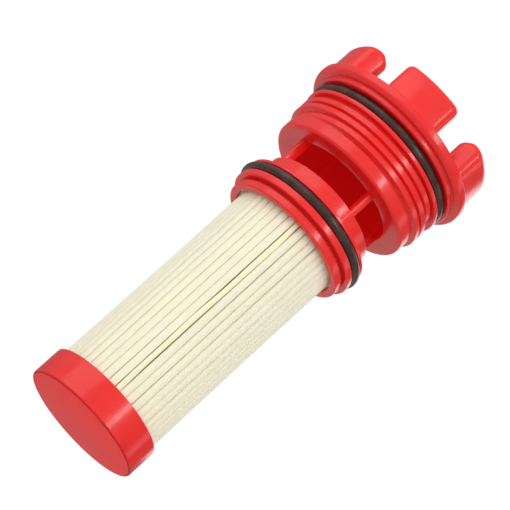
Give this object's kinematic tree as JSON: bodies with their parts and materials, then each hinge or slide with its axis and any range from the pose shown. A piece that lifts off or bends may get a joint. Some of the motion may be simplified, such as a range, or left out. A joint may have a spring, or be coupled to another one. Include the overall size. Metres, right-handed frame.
{
  "type": "fuel filter",
  "caption": "Screw-in fuel filter: a pleated paper element between a closed end cap and a threaded cap with castellated head, sealed by two O-rings.",
  "frame": {"origin": "centre of the end cap's flat bottom face", "axes": "+Z along the filter's axis, from the end cap to the castellated head; -Y is the side that shows the paper's seam"},
  "size_m": [0.052, 0.052, 0.1216],
  "materials": {
    "red_plastic": "glossy moulded",
    "black_rubber": "satin",
    "cream_paper": "matt, resin treated",
    "seam_paper": "matt, glue soaked",
    "white_plastic": "matt moulded",
    "adhesive": "set adhesive"
  },
  "bodies": {
    "root": {"threaded_cap": "red_plastic", "cap_seal_ring": "black_rubber", "neck_cage": "red_plastic", "neck_seal_ring": "black_rubber", "pleat_pack": "cream_paper", "pleat_seam": "seam_paper", "support_core": "white_plastic", "upper_potting": "adhesive", "lower_potting": "adhesive", "end_cap": "red_plastic"}
  },
  "joints": []
}
